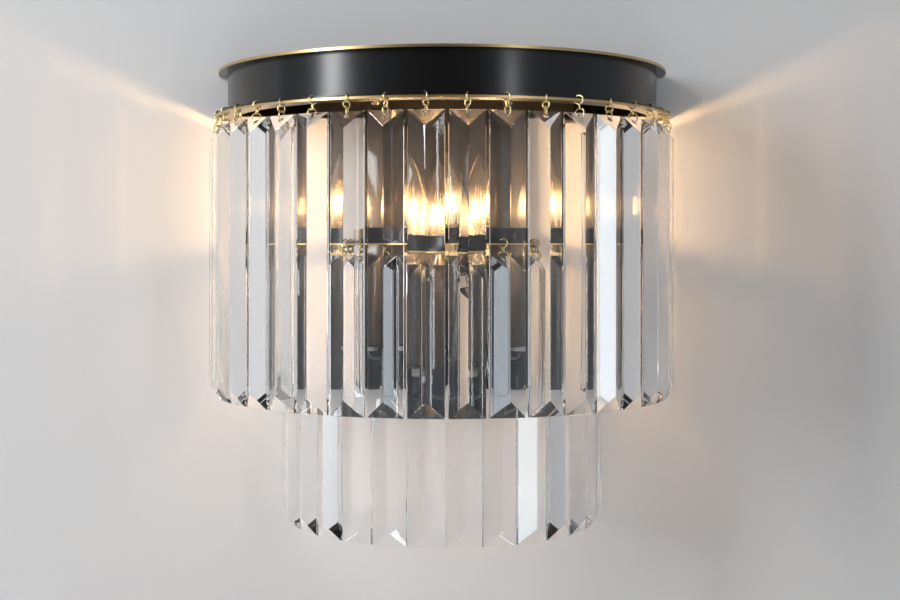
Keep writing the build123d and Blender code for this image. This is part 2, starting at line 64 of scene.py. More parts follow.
# Chain rings: round brass wire, each ring turned about the upright from the way its hole faces
WIRE_RADIUS = 0.5 * MM
UPPER_RING_RADIUS = 2.9 * MM
MIDDLE_RING_RADIUS = 2.4 * MM
LOWER_RING_RADIUS = 3.5 * MM
UPPER_RING_RISE = 9.007 * MM  # above the centre of the lower ring
MIDDLE_RING_RISE = 4.805 * MM
UPPER_RING_SHIFT = 0.5 * MM  # along the rim
UPPER_RING_TURN = radians(-24)
MIDDLE_RING_TURN = radians(42)
LOWER_RING_TURN = radians(-16)
RING_TILT = radians(7)
RING_SEGMENTS = 20
WIRE_SEGMENTS = 7

# Crystal
PRISM_BEVEL = 0.28 * MM

# Bulbs
BULB_RADIUS = 17.5 * MM
BULB_SHOULDER = 24.0 * MM
BULB_WALL = 0.7 * MM
NECK_RADIUS = 7.0 * MM
FILAMENT_HEIGHT = 34.0 * MM
FILAMENT_HALF_WIDTH = 6.0 * MM
FILAMENT_HALF_HEIGHT = 6.0 * MM
FILAMENT_BOW = 2.5 * MM
FILAMENT_CORNERS = 9
FILAMENT_WIRE = 0.85 * MM  # thicker than the real wire, to stand in for the glare around it
FILAMENT_GLOW = 2400.0
STEM_HEIGHT = 20.0 * MM
STEM_OUTLINE = [  # radius and height of the glass stem, up to its bead
    (0.0, 0.0), (5.6 * MM, 0.0), (4.6 * MM, 2 * MM), (2.6 * MM, 7 * MM), (2.2 * MM, STEM_HEIGHT - 3 * MM),
    (2.9 * MM, STEM_HEIGHT - 1.5 * MM), (2.0 * MM, STEM_HEIGHT), (0.0, STEM_HEIGHT + 0.4 * MM),
]
SUPPORT_WIRE = 0.3 * MM
SUPPORT_FOOT = (1.2 * MM, STEM_HEIGHT - 2 * MM)  # from the bulb's middle, and height
SUPPORT_KNEE = (3.2 * MM, STEM_HEIGHT + 4 * MM)
CAP_TIP = 4.0 * MM
CAP_COLLAR = 5.0 * MM
THREAD_PITCH = 2.82 * MM  # of an E14 cap
THREAD_DEPTH = 0.8 * MM
THREAD_STEPS = 6
SLEEVE_WALL = 1.0 * MM
SLEEVE_LIP = 0.35 * MM

# Black strips that close the back of the drum beside the wall plate, as painted shade over the wall behind it
WING_SHEET = 1.2 * MM
WING_GAP = 0.2 * MM
WING_FLANGE = 6.0 * MM
WING_BEVEL = 0.25 * MM

# Gold on the rims: its depth inwards, and its height above the underside of each rail
RIM_DEPTH = 0.16 * MM
OUTER_LIP_HEIGHT = 1.9 * MM
INNER_LIP_HEIGHT = 0.9 * MM


# ---------------------------------------------------------------- shader groups and materials

def node_group(name, inputs, outputs):
    """Empty shader group with named float or vector inputs and outputs."""
    kinds = {"f": "NodeSocketFloat", "v": "NodeSocketVector"}
    tree = bpy.data.node_groups.new(name, "ShaderNodeTree")
    for label, kind, value in inputs:
        socket = tree.interface.new_socket(label, in_out="INPUT", socket_type=kinds[kind])
        if value is not None:
            socket.default_value = value
    for label, kind in outputs:
        tree.interface.new_socket(label, in_out="OUTPUT", socket_type=kinds[kind])
    return tree, tree.nodes.new("NodeGroupInput"), tree.nodes.new("NodeGroupOutput")


def maths(tree, operation, *values):
    """Math node whose inputs are numbers or sockets."""
    node = tree.nodes.new("ShaderNodeMath")
    node.operation = operation
    for place, value in enumerate(values):
        if isinstance(value, (int, float)):
            node.inputs[place].default_value = value
        else:
            tree.links.new(value, node.inputs[place])
    return node.outputs[0]


def noise(tree, vector, scale, detail=3.0, roughness=0.55):
    node = tree.nodes.new("ShaderNodeTexNoise")
    node.inputs["Detail"].default_value = detail
    node.inputs["Roughness"].default_value = roughness
    if isinstance(scale, (int, float)):
        node.inputs["Scale"].default_value = scale
    else:
        tree.links.new(scale, node.inputs["Scale"])
    tree.links.new(vector, node.inputs["Vector"])
    return node.outputs[0]


def ranged(tree, value, low, high, to_low, to_high):
    """Map Range node whose limits are numbers or sockets."""
    node = tree.nodes.new("ShaderNodeMapRange")
    tree.links.new(value, node.inputs["Value"])
    for label, limit in (("From Min", low), ("From Max", high), ("To Min", to_low), ("To Max", to_high)):
        if isinstance(limit, (int, float)):
            node.inputs[label].default_value = limit
        else:
            tree.links.new(limit, node.inputs[label])
    return node.outputs["Result"]


def make_mottle():
    """Slow uneven patches between two values, with fine grain on top."""
    tree, given, result = node_group(
        "Mottle",
        [("Vector", "v", None), ("Patch Scale", "f", 30.0), ("Grain Scale", "f", 900.0), ("Low", "f", 0.3),
         ("High", "f", 0.4)],
        [("Value", "f"), ("Grain", "f")],
    )
    patches = noise(tree, given.outputs["Vector"], given.outputs["Patch Scale"])
    grain = noise(tree, given.outputs["Vector"], given.outputs["Grain Scale"], detail=2.0)
    both = maths(tree, "ADD", maths(tree, "MULTIPLY", patches, 0.75), maths(tree, "MULTIPLY", grain, 0.25))
    value = ranged(tree, both, 0.3, 0.7, given.outputs["Low"], given.outputs["High"])
    tree.links.new(value, result.inputs["Value"])
    tree.links.new(grain, result.inputs["Grain"])
    return tree


def make_rim_mask():
    """1 on a round rim at a radius about the Z axis, up to a height, with a slightly uneven border."""
    tree, given, result = node_group(
        "Rim Mask",
        [("Vector", "v", None), ("Radius", "f", 0.17), ("Border", "f", 0.00012), ("Top", "f", 1.0)],
        [("Mask", "f")],
    )
    split = tree.nodes.new("ShaderNodeSeparateXYZ")
    tree.links.new(given.outputs["Vector"], split.inputs[0])
    squares = maths(
        tree, "ADD", maths(tree, "POWER", split.outputs[0], 2.0), maths(tree, "POWER", split.outputs[1], 2.0)
    )
    radius = maths(tree, "SQRT", squares)
    wander = maths(tree, "MULTIPLY", noise(tree, given.outputs["Vector"], 140.0), given.outputs["Border"])
    edge = maths(tree, "SUBTRACT", given.outputs["Radius"], maths(tree, "MULTIPLY", wander, 1.6))
    mask = ranged(tree, maths(tree, "SUBTRACT", radius, edge), -0.00005, 0.00005, 0.0, 1.0)
    low_enough = ranged(
        tree, maths(tree, "SUBTRACT", split.outputs[2], given.outputs["Top"]), -0.0001, 0.0001, 1.0, 0.0
    )
    tree.links.new(maths(tree, "MULTIPLY", mask, low_enough), result.inputs["Mask"])
    return tree


def make_glow():
    """Mask that falls off around a height, for the painted glow where the lit filaments light things up."""
    tree, given, result = node_group(
        "Glow",
        [("Vector", "v", None), ("Height", "f", -0.08), ("Reach Up", "f", 0.02), ("Reach Down", "f", 0.03)],
        [("Mask", "f")],
    )
    split = tree.nodes.new("ShaderNodeSeparateXYZ")
    tree.links.new(given.outputs["Vector"], split.inputs[0])
    above = maths(tree, "SUBTRACT", split.outputs[2], given.outputs["Height"])
    up = maths(tree, "DIVIDE", maths(tree, "MAXIMUM", above, 0.0), given.outputs["Reach Up"])
    down = maths(tree, "DIVIDE", maths(tree, "MINIMUM", above, 0.0), given.outputs["Reach Down"])
    far = maths(tree, "ADD", maths(tree, "POWER", up, 2.0), maths(tree, "POWER", down, 2.0))
    fall = maths(tree, "EXPONENT", maths(tree, "MULTIPLY", far, -1.0))
    tree.links.new(fall, result.inputs["Mask"])
    return tree


MOTTLE = make_mottle()
RIM_MASK = make_rim_mask()
GLOW = make_glow()


class Finish:
    """A material with a Principled BSDF, Object coordinates and the groups it needs."""

    def __init__(self, name, color, **sockets):
        self.material = bpy.data.materials.new(name)
        self.material.use_nodes = True
        self.tree = self.material.node_tree
        self.shader = self.tree.nodes["Principled BSDF"]
        self.out = self.tree.nodes["Material Output"]
        self.shader.inputs["Base Color"].default_value = (*color, 1.0)
        for label, value in sockets.items():
            self.shader.inputs[label.replace("_", " ")].default_value = value
        self.here = self.tree.nodes.new("ShaderNodeTexCoord").outputs["Object"]

    def group(self, tree, **values):
        node = self.tree.nodes.new("ShaderNodeGroup")
        node.node_tree = tree
        self.tree.links.new(self.here, node.inputs["Vector"])
        for label, value in values.items():
            node.inputs[label.replace("_", " ")].default_value = value
        return node

    def link(self, output, label):
        self.tree.links.new(output, self.shader.inputs[label])

    def blend(self, mask, first, second):
        """Colour that goes from the first to the second as the mask goes from 0 to 1."""
        node = self.tree.nodes.new("ShaderNodeMix")
        node.data_type = "RGBA"
        self.tree.links.new(mask, node.inputs[0])
        for place, color in ((6, first), (7, second)):
            if isinstance(color, tuple):
                node.inputs[place].default_value = (*color, 1.0)
            else:
                self.tree.links.new(color, node.inputs[place])
        return node.outputs[2]

    def uneven(self, low, high, patch=30.0, grain=900.0, bump=0.0, depth=0.00005):
        """Roughness between two values, and fine grain as bump."""
        mottle = self.group(MOTTLE, Patch_Scale=patch, Grain_Scale=grain, Low=low, High=high)
        self.link(mottle.outputs["Value"], "Roughness")
        if bump:
            node = self.tree.nodes.new("ShaderNodeBump")
            node.inputs["Strength"].default_value = bump
            node.inputs["Distance"].default_value = depth
            self.tree.links.new(mottle.outputs["Grain"], node.inputs["Height"])
            self.link(node.outputs[0], "Normal")
        return mottle

    def clear_to_shadow(self, share):
        """Lets a share of the lamp light through, as clear pieces bend the rest away."""
        mix = self.tree.nodes.new("ShaderNodeMixShader")
        path = self.tree.nodes.new("ShaderNodeLightPath")
        through = self.tree.nodes.new("ShaderNodeBsdfTransparent")
        through.inputs[0].default_value = (share, share, share, 1.0)
        self.tree.links.new(path.outputs["Is Shadow Ray"], mix.inputs[0])
        self.tree.links.new(self.shader.outputs[0], mix.inputs[1])
        self.tree.links.new(through.outputs[0], mix.inputs[2])
        self.tree.links.new(mix.outputs[0], self.out.inputs["Surface"])


BLACK = (0.0050, 0.0047, 0.0047)
GOLD = (0.52, 0.38, 0.18)
SLEEVE_COLOR = (0.012, 0.011, 0.010)
RIM_ROUGHNESS = 0.34
UNLIT = (0.0, 0.0, 0.0)
# Painted glow on the glass of the bulbs: emission around each filament stands in for its glare
HALO_COLOR = (1.0, 0.58, 0.24)
HALO_STRENGTH = 0.6
HALO_REACH = 8.0 * MM
# Painted glow on the sleeve lips: emission stands in for the bulbs' light falling on them
LIP_GLOW_COLOR = (1.0, 0.66, 0.33)
LIP_GLOW_STRENGTH = 0.8
LIP_GLOW_REACH = 4.0 * MM
COIL_COLOR = (1.0, 0.56, 0.24)
HOT_COIL_COLOR = (1.0, 0.66, 0.32)
CRYSTAL_LETS_THROUGH = 0.56  # share of a lamp's light past each face
BULB_LETS_THROUGH = 0.96


def black_paint(name, rim_radius=None, rim_top=1.0):
    """Satin black with fine grain. The rim, where there is one, is rubbed back to bare brass."""
    finish = Finish(name, BLACK, Specular_IOR_Level=0.42)
    mottle = finish.uneven(0.20, 0.26, patch=18.0, grain=1400.0, bump=0.06)
    dust = finish.blend(mottle.outputs["Value"], BLACK, (0.0095, 0.0090, 0.0090))
    if rim_radius is None:
        finish.link(dust, "Base Color")
        return finish.material
    rim = finish.group(RIM_MASK, Radius=rim_radius, Top=rim_top)
    finish.link(finish.blend(rim.outputs["Mask"], dust, GOLD), "Base Color")
    finish.link(rim.outputs["Mask"], "Metallic")
    rough = ranged(finish.tree, rim.outputs["Mask"], 0.0, 1.0, mottle.outputs["Value"], RIM_ROUGHNESS)
    finish.link(rough, "Roughness")
    return finish.material


def gloss_paint():
    """Glossy black lacquer with faint orange peel and wiped-on dust."""
    finish = Finish("black gloss lacquer", (0.006, 0.0055, 0.006), Coat_Weight=0.6, Coat_Roughness=0.04)
    mottle = finish.uneven(0.07, 0.16, patch=9.0, grain=260.0, bump=0.05)
    dusty = finish.blend(mottle.outputs["Value"], (0.005, 0.005, 0.0055), (0.012, 0.011, 0.011))
    finish.link(dusty, "Base Color")
    return finish.material


def metal(name, color, low, high, patch=60.0, grain=1500.0, bump=0.1):
    finish = Finish(name, color, Metallic=1.0)
    mottle = finish.uneven(low, high, patch=patch, grain=grain, bump=bump)
    worn = tuple(0.78 * part for part in color)
    finish.link(finish.blend(mottle.outputs["Grain"], worn, color), "Base Color")
    return finish.material


def plastic(name, color, low, high, **sockets):
    finish = Finish(name, color, **sockets)
    mottle = finish.uneven(low, high, patch=50.0, grain=1100.0, bump=0.15)
    aged = tuple(0.86 * part for part in color)
    finish.link(finish.blend(mottle.outputs["Value"], color, aged), "Base Color")
    return finish.material


def crystal():
    """Clear cut glass with the faintest ripple in its polished faces."""
    finish = Finish(
        "cut crystal", (0.995, 0.997, 1.0), Transmission_Weight=1.0, IOR=1.53, Specular_IOR_Level=0.6
    )
    finish.uneven(0.0, 0.008, patch=22.0, grain=40.0, bump=0.003, depth=0.00002)
    finish.clear_to_shadow(CRYSTAL_LETS_THROUGH)
    return finish.material


def lit_glass(filament_height):
    """Clear glass of the bulb with a painted glow: emission around the filament's height stands in for its glare.
    """
    finish = Finish(
        "bulb glass", (1.0, 0.99, 0.97), Transmission_Weight=1.0, IOR=1.46, Emission_Strength=HALO_STRENGTH
    )
    finish.uneven(0.0, 0.02, patch=40.0, grain=120.0)
    glow = finish.group(GLOW, Height=filament_height, Reach_Up=HALO_REACH, Reach_Down=HALO_REACH)
    finish.link(finish.blend(glow.outputs["Mask"], UNLIT, HALO_COLOR), "Emission Color")
    finish.clear_to_shadow(BULB_LETS_THROUGH)
    return finish.material


def lit_sleeve(top):
    """Dark sleeve whose lip has a painted glow: emission at its top stands in for the light of the bulb above it.
    """
    finish = Finish("candle sleeve", SLEEVE_COLOR, Specular_IOR_Level=0.5, Emission_Strength=LIP_GLOW_STRENGTH)
    mottle = finish.uneven(0.28, 0.4, patch=45.0, grain=1200.0, bump=0.1)
    finish.link(finish.blend(mottle.outputs["Grain"], SLEEVE_COLOR, (0.022, 0.020, 0.018)), "Base Color")
    glow = finish.group(GLOW, Height=top, Reach_Up=LIP_GLOW_REACH, Reach_Down=LIP_GLOW_REACH)
    finish.link(finish.blend(glow.outputs["Mask"], UNLIT, LIP_GLOW_COLOR), "Emission Color")
    return finish.material


def glowing_filament():
    """Tungsten at lamp heat, hotter in patches."""
    finish = Finish("lit filament", (0.9, 0.6, 0.3), Emission_Strength=FILAMENT_GLOW)
    heat = finish.group(MOTTLE, Patch_Scale=90.0, Grain_Scale=2000.0, Low=0.0, High=1.0)
    finish.link(finish.blend(heat.outputs["Value"], COIL_COLOR, HOT_COIL_COLOR), "Emission Color")
    finish.material.cycles.emission_sampling = "FRONT_BACK"
    return finish.material


# ---------------------------------------------------------------- meshes

def piece(name, mesh, material, slot, *nodes, body=FRAME_BODY):
    """An object at the origin that rides on a body and stands for CAD nodes."""
    thing = bpy.data.objects.new(name, mesh)
    bpy.context.scene.collection.objects.link(thing)
    mesh.materials.clear()
    mesh.materials.append(material)
    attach(thing, body)
    if nodes:
        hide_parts(*nodes)
    return thing


def smooth_by_angle(mesh, limit=radians(32)):
    mesh.polygons.foreach_set("use_smooth", [True] * len(mesh.polygons))
    mesh.set_sharp_from_angle(angle=limit)


def to_mesh(work, name, smooth=True):
    mesh = bpy.data.meshes.new(name)
    work.to_mesh(mesh)
    work.free()
    if smooth:
        smooth_by_angle(mesh)
    return mesh


def merged_copy(node, flat=radians(0.4)):
    """A CAD node's mesh with its doubles merged and its flat faces joined."""
    work = bmesh.new()
    work.from_mesh(frame["nodes"][node].data)
    bmesh.ops.remove_doubles(work, verts=work.verts, dist=0.002 * MM)
    bmesh.ops.dissolve_limit(work, angle_limit=flat, verts=work.verts, edges=work.edges)
    return work


def softened(node, width, longest_plain=1.6 * MM, segments=1, corner=radians(8)):
    """A CAD node's mesh with its longer sharp edges bevelled."""
    work = merged_copy(node)
    sharp = [
        edge for edge in work.edges
        if edge.calc_length() > longest_plain and len(edge.link_faces) == 2
        and edge.calc_face_angle(0.0) > corner
    ]
    if width:
        bmesh.ops.bevel(work, geom=sharp, offset=width, segments=segments, profile=0.5, affect="EDGES",
                        clamp_overlap=True)
    return work


def lathe(profile, place, segments, closed=True):
    """A solid of revolution about the upright through a place, from (radius, height) points."""
    work = bmesh.new()
    rings = []
    for radius, height in profile:
        if radius < 1e-7:
            rings.append([work.verts.new(Vector((0, 0, height)) + place)])
            continue
        angles = [2 * pi * turn / segments for turn in range(segments)]
        rings.append([
            work.verts.new(Vector((radius * cos(angle), radius * sin(angle), height)) + place)
            for angle in angles
        ])
    pairs = list(zip(rings, rings[1:] + rings[:1])) if closed else list(zip(rings, rings[1:]))
    for low, high in pairs:
        for turn in range(segments):
            after = (turn + 1) % segments
            corners = [low[turn % len(low)], low[after % len(low)], high[after % len(high)],
                       high[turn % len(high)]]
            face = list(dict.fromkeys(corners))
            if len(face) > 2:
                work.faces.new(face)
    bmesh.ops.recalc_face_normals(work, faces=work.faces)
    return work


def joined(name, parts, smooth=True):
    """One mesh from several bmesh parts."""
    whole = bmesh.new()
    for part in parts:
        scrap = bpy.data.meshes.new("scrap")
        part.to_mesh(scrap)
        part.free()
        whole.from_mesh(scrap)
        bpy.data.meshes.remove(scrap)
    return to_mesh(whole, name, smooth)


def wire_along(points, radius, resolution=3):
    """Round wire through points, as a bmesh."""
    curve = bpy.data.curves.new("wire", "CURVE")
    curve.dimensions = "3D"
    curve.bevel_depth = radius
    curve.bevel_resolution = resolution
    curve.use_fill_caps = True
    spline = curve.splines.new("POLY")
    spline.points.add(len(points) - 1)
    for point, place in zip(spline.points, points):
        point.co = (*place, 1.0)
    holder = bpy.data.objects.new("wire", curve)
    bpy.context.scene.collection.objects.link(holder)
    mesh = bpy.data.meshes.new_from_object(holder.evaluated_get(bpy.context.evaluated_depsgraph_get()))
    work = bmesh.new()
    work.from_mesh(mesh)
    bpy.data.objects.remove(holder)
    bpy.data.meshes.remove(mesh)
    bpy.data.curves.remove(curve)
    return work


# ---------------------------------------------------------------- chain rings, by Geometry Nodes

def ring_tree(material):
    """A wire ring on every point of a mesh, turned by the point's attribute."""
    tree = bpy.data.node_groups.new("Chain rings", "GeometryNodeTree")
    tree.interface.new_socket("Geometry", in_out="INPUT", socket_type="NodeSocketGeometry")
    for label in ("Ring Radius", "Wire Radius"):
        tree.interface.new_socket(label, in_out="INPUT", socket_type="NodeSocketFloat")
    for label in ("Ring Segments", "Wire Segments"):
        tree.interface.new_socket(label, in_out="INPUT", socket_type="NodeSocketInt")
    tree.interface.new_socket("Geometry", in_out="OUTPUT", socket_type="NodeSocketGeometry")
    add = tree.nodes.new
    link = tree.links.new
    given = add("NodeGroupInput")
    ring = add("GeometryNodeCurvePrimitiveCircle")
    wire = add("GeometryNodeCurvePrimitiveCircle")
    link(given.outputs["Ring Radius"], ring.inputs["Radius"])
    link(given.outputs["Ring Segments"], ring.inputs["Resolution"])
    link(given.outputs["Wire Radius"], wire.inputs["Radius"])
    link(given.outputs["Wire Segments"], wire.inputs["Resolution"])
    bend = add("GeometryNodeCurveToMesh")
    link(ring.outputs["Curve"], bend.inputs["Curve"])
    link(wire.outputs["Curve"], bend.inputs["Profile Curve"])
    smooth = add("GeometryNodeSetShadeSmooth")
    link(bend.outputs[0], smooth.inputs["Geometry"])
    turn = add("GeometryNodeInputNamedAttribute")
    turn.data_type = "FLOAT_VECTOR"
    turn.inputs["Name"].default_value = "turn"
    rotation = add("FunctionNodeEulerToRotation")
    link(turn.outputs["Attribute"], rotation.inputs[0])
    points = add("GeometryNodeMeshToPoints")
    link(given.outputs["Geometry"], points.inputs["Mesh"])
    spread = add("GeometryNodeInstanceOnPoints")
    link(points.outputs[0], spread.inputs["Points"])
    link(smooth.outputs[0], spread.inputs["Instance"])
    link(rotation.outputs[0], spread.inputs["Rotation"])
    solid = add("GeometryNodeRealizeInstances")
    link(spread.outputs[0], solid.inputs[0])
    paint = add("GeometryNodeSetMaterial")
    paint.inputs["Material"].default_value = material
    link(solid.outputs[0], paint.inputs["Geometry"])
    link(paint.outputs[0], add("NodeGroupOutput").inputs[0])
    return tree


def run_tree(name, tree, points, turns, **sizes):
    """Plain mesh that a tree makes of points."""
    seed = bpy.data.meshes.new(name + "_points")
    seed.from_pydata(points, [], [])
    attribute = seed.attributes.new("turn", "FLOAT_VECTOR", "POINT")
    attribute.data.foreach_set("vector", [part for turn in turns for part in turn])
    holder = bpy.data.objects.new(name + "_points", seed)
    bpy.context.scene.collection.objects.link(holder)
    modifier = holder.modifiers.new("Rings", "NODES")
    modifier.node_group = tree
    for item in tree.interface.items_tree:
        if item.in_out == "INPUT" and item.name.replace(" ", "_") in sizes:
            modifier[item.identifier] = sizes[item.name.replace(" ", "_")]
    mesh = bpy.data.meshes.new_from_object(holder.evaluated_get(bpy.context.evaluated_depsgraph_get()))
    bpy.data.objects.remove(holder)
    bpy.data.meshes.remove(seed)
    mesh.name = name
    return mesh


def chains(material):
    """The three rings of each chain, hung from the rail over its prism."""
    tree = ring_tree(material)
    middle_shift = UPPER_RING_SHIFT / 2
    kinds = [
        ("upper_rings", UPPER_RING_RADIUS, UPPER_RING_RISE, UPPER_RING_SHIFT, UPPER_RING_TURN, 0.0),
        ("middle_rings", MIDDLE_RING_RADIUS, MIDDLE_RING_RISE, middle_shift, MIDDLE_RING_TURN, RING_TILT),
        ("lower_rings", LOWER_RING_RADIUS, 0.0, 0.0, LOWER_RING_TURN, 0.0),
    ]
    for node, radius, rise, shift, twist, tilt in kinds:
        points = []
        turns = []
        for number, joint in enumerate(frame["joints"]):
            hang = Vector(joint["pos_m"])
            outwards = Vector((hang.x, hang.y, 0.0)).normalized()
            along = Vector((-outwards.y, outwards.x, 0.0))
            side = -1 if number % 2 else 1
            facing = Vector((1, 0)).angle_signed(Vector((along.x, along.y)))
            points.append(hang + Vector((0, 0, rise)) + side * shift * along)
            turns.append((radians(90) + side * tilt, 0.0, pi / 2 - facing + side * twist))
        mesh = run_tree(node, tree, points, turns, Ring_Radius=radius, Wire_Radius=WIRE_RADIUS,
                        Ring_Segments=RING_SEGMENTS, Wire_Segments=WIRE_SEGMENTS)
        piece("chain_" + node, mesh, material, "brass", node)


# ---------------------------------------------------------------- lamps

glass_low, glass_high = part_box("bulb_glasses")
BULB_LENGTH = glass_high.z - glass_low.z
SIDE_LAMP_X = glass_high.x - BULB_RADIUS
LAMPS = [
    Vector((-SIDE_LAMP_X, glass_high.y - BULB_RADIUS, glass_low.z)),
    Vector((0.0, glass_low.y + BULB_RADIUS, glass_low.z)),
    Vector((SIDE_LAMP_X, glass_high.y - BULB_RADIUS, glass_low.z)),
]


def bezier(points, steps):
    """Points along a cubic curve."""
    result = []
    for step in range(steps + 1):
        t = step / steps
        weights = ((1 - t) ** 3, 3 * t * (1 - t) ** 2, 3 * t**2 * (1 - t), t**3)
        result.append(tuple(sum(w * p[axis] for w, p in zip(weights, points)) for axis in (0, 1)))
    return result


def bulb_profile(inset):
    """Outline of the candle bulb from its neck to its tip."""
    neck = NECK_RADIUS - inset
    widest = BULB_RADIUS - inset
    tip = BULB_LENGTH - 1.5 * inset
    bulge = (BULB_SHOULDER + tip) / 2
    flare = (neck + widest) / 2
    lower = bezier(
        [(neck, 0), (flare, BULB_SHOULDER / 3), (widest, BULB_SHOULDER / 2), (widest, BULB_SHOULDER)], 12
    )
    upper = bezier(
        [(widest, BULB_SHOULDER), (widest, bulge), (neck, (bulge + 2 * tip) / 3), (0, tip)], 26
    )
    return lower + upper[1:]


def bulbs(glass, filament, metal_parts):
    outside = bulb_profile(0.0)
    inside = bulb_profile(BULB_WALL)
    shells = [lathe(outside + inside[::-1], place, 56) for place in LAMPS]
    piece("bulb_glass_shells", joined("bulb_glass_shells", shells), glass, "bulb_glass", "bulb_glasses")
    strands = []
    mounts = []
    for place in LAMPS:
        centre = place + Vector((0, 0, FILAMENT_HEIGHT))
        path = []
        for corner in range(FILAMENT_CORNERS):
            across = -FILAMENT_HALF_WIDTH + 2 * FILAMENT_HALF_WIDTH * corner / (FILAMENT_CORNERS - 1)
            rise = FILAMENT_HALF_HEIGHT if corner % 2 else -FILAMENT_HALF_HEIGHT
            bow = FILAMENT_BOW * cos(pi / 2 * across / FILAMENT_HALF_WIDTH)
            path.append(centre + Vector((across, -bow, rise)))
        strands.append(wire_along(path, FILAMENT_WIRE, 2))
        mounts.append(lathe(STEM_OUTLINE, place, 20, closed=False))
        for side in (-1, 1):
            foot = place + Vector((side * SUPPORT_FOOT[0], 0, SUPPORT_FOOT[1]))
            knee = place + Vector((side * SUPPORT_KNEE[0], 0, SUPPORT_KNEE[1]))
            top = centre + Vector((side * FILAMENT_HALF_WIDTH, 0, -FILAMENT_HALF_HEIGHT))
            mounts.append(wire_along([foot, knee, top], SUPPORT_WIRE, 2))
    lit = joined("bulb_filament_strands", strands)
    piece("bulb_filament_strands", lit, filament, "filament", "bulb_filaments")
    piece("bulb_stems_and_supports", joined("bulb_stems_and_supports", mounts), metal_parts, "filament")


def drum_back_wings(material):
    """Folded black strips on both sides of the wall plate, put behind the drum as painted shade over the wall."""
    plate_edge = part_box("wall_plate")[1].x + WING_GAP
    band_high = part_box("drum_band")[1]
    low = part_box("outer_rail")[1].z
    band_edge = band_high.x - WING_SHEET - WING_GAP
    outline = [
        (-WING_GAP, low), (-WING_FLANGE, low), (-WING_FLANGE, low + WING_SHEET),
        (-WING_GAP - WING_SHEET, low + WING_SHEET), (-WING_GAP - WING_SHEET, band_high.z),
        (-WING_GAP, band_high.z),
    ]
    parts = []
    for side in (-1, 1):
        work = bmesh.new()
        ends = [[work.verts.new((side * x, y, z)) for y, z in outline] for x in (plate_edge, band_edge)]
        work.faces.new(ends[0])
        work.faces.new(ends[1])
        for here in range(len(outline)):
            after = (here + 1) % len(outline)
            work.faces.new((ends[0][here], ends[0][after], ends[1][after], ends[1][here]))
        bmesh.ops.recalc_face_normals(work, faces=work.faces)
        bmesh.ops.bevel(work, geom=work.edges[:], offset=WING_BEVEL, segments=2, profile=0.5, affect="EDGES")
        parts.append(work)
    piece("drum_back_wings", joined("drum_back_wings", parts), material, SLOTS["drum_band"])


def caps(material):
    """Screw caps with a rolled thread, over a cone and a contact tip."""
    low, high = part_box("bulb_caps")
    height = high.z - low.z
    profile = [
        (0.0, 0.0), (2.2 * MM, 0.2 * MM), (NECK_RADIUS / 2, 1.0 * MM), (NECK_RADIUS - 0.9 * MM, CAP_TIP),
    ]
    turns = int((height - CAP_TIP - CAP_COLLAR) / THREAD_PITCH)
    for step in range(turns * THREAD_STEPS + 1):
        wave = cos(2 * pi * step / THREAD_STEPS)
        rise = THREAD_PITCH * step / THREAD_STEPS
        profile.append((NECK_RADIUS - THREAD_DEPTH * (1 + wave) / 2, CAP_TIP + rise))
    profile += [(NECK_RADIUS, height - CAP_COLLAR + 0.8 * MM), (NECK_RADIUS, height), (0.0, height)]
    parts = [lathe(profile, Vector((lamp.x, lamp.y, low.z)), 32, closed=False) for lamp in LAMPS]
    piece("bulb_screw_caps", joined("bulb_screw_caps", parts), material, SLOTS["bulb_caps"], "bulb_caps")


def sleeves(material):
    """Candle sleeves with rounded lips."""
    low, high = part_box("candle_sleeves")
    radius = high.x - SIDE_LAMP_X
    bore = radius - SLEEVE_WALL
    height = high.z - low.z
    shoulder = height - SLEEVE_LIP
    profile = [
        (bore, 0.0), (radius, 0.0), (radius, shoulder), (radius - SLEEVE_LIP, height),
        (bore + SLEEVE_LIP, height), (bore, shoulder),
    ]
    parts = [lathe(profile, Vector((lamp.x, lamp.y, low.z)), 48) for lamp in LAMPS]
    tubes = joined("candle_sleeve_tubes", parts)
    piece("candle_sleeve_tubes", tubes, material, "sleeve_plastic", "candle_sleeves")


# ---------------------------------------------------------------- the object

outer_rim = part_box("outer_rail")[1].x
inner_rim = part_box("inner_rail")[1].x
plate_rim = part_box("top_plate")[1].x
inner_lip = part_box("inner_rail")[0].z + INNER_LIP_HEIGHT  # only the lower lips of the rails are gold
outer_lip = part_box("outer_rail")[0].z + OUTER_LIP_HEIGHT

SATIN = black_paint("satin black paint")
BRASS = metal("brass wire", (0.95, 0.84, 0.47), 0.14, 0.24)
ZINC = metal("zinc plated steel", (0.62, 0.63, 0.64), 0.3, 0.45, patch=25.0)
NICKEL = metal("nickel plate", (0.72, 0.68, 0.60), 0.12, 0.22)
CAP = metal("cap brass", (0.75, 0.66, 0.48), 0.2, 0.35)
SCREW_BLACK = metal("blackened screws", (0.03, 0.03, 0.032), 0.3, 0.45)
GLOSS = gloss_paint()
CRYSTAL = crystal()
WHITE = plastic("white moulded plastic", (0.80, 0.78, 0.73), 0.35, 0.5)
PVC = plastic("lead sheath", (0.10, 0.10, 0.10), 0.38, 0.5)
RUBBER = plastic("black rubber", (0.02, 0.02, 0.02), 0.55, 0.75)
BULB_GLASS = lit_glass(LAMPS[0].z + FILAMENT_HEIGHT)
FILAMENT = glowing_filament()
SLEEVE = lit_sleeve(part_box("candle_sleeves")[1].z)

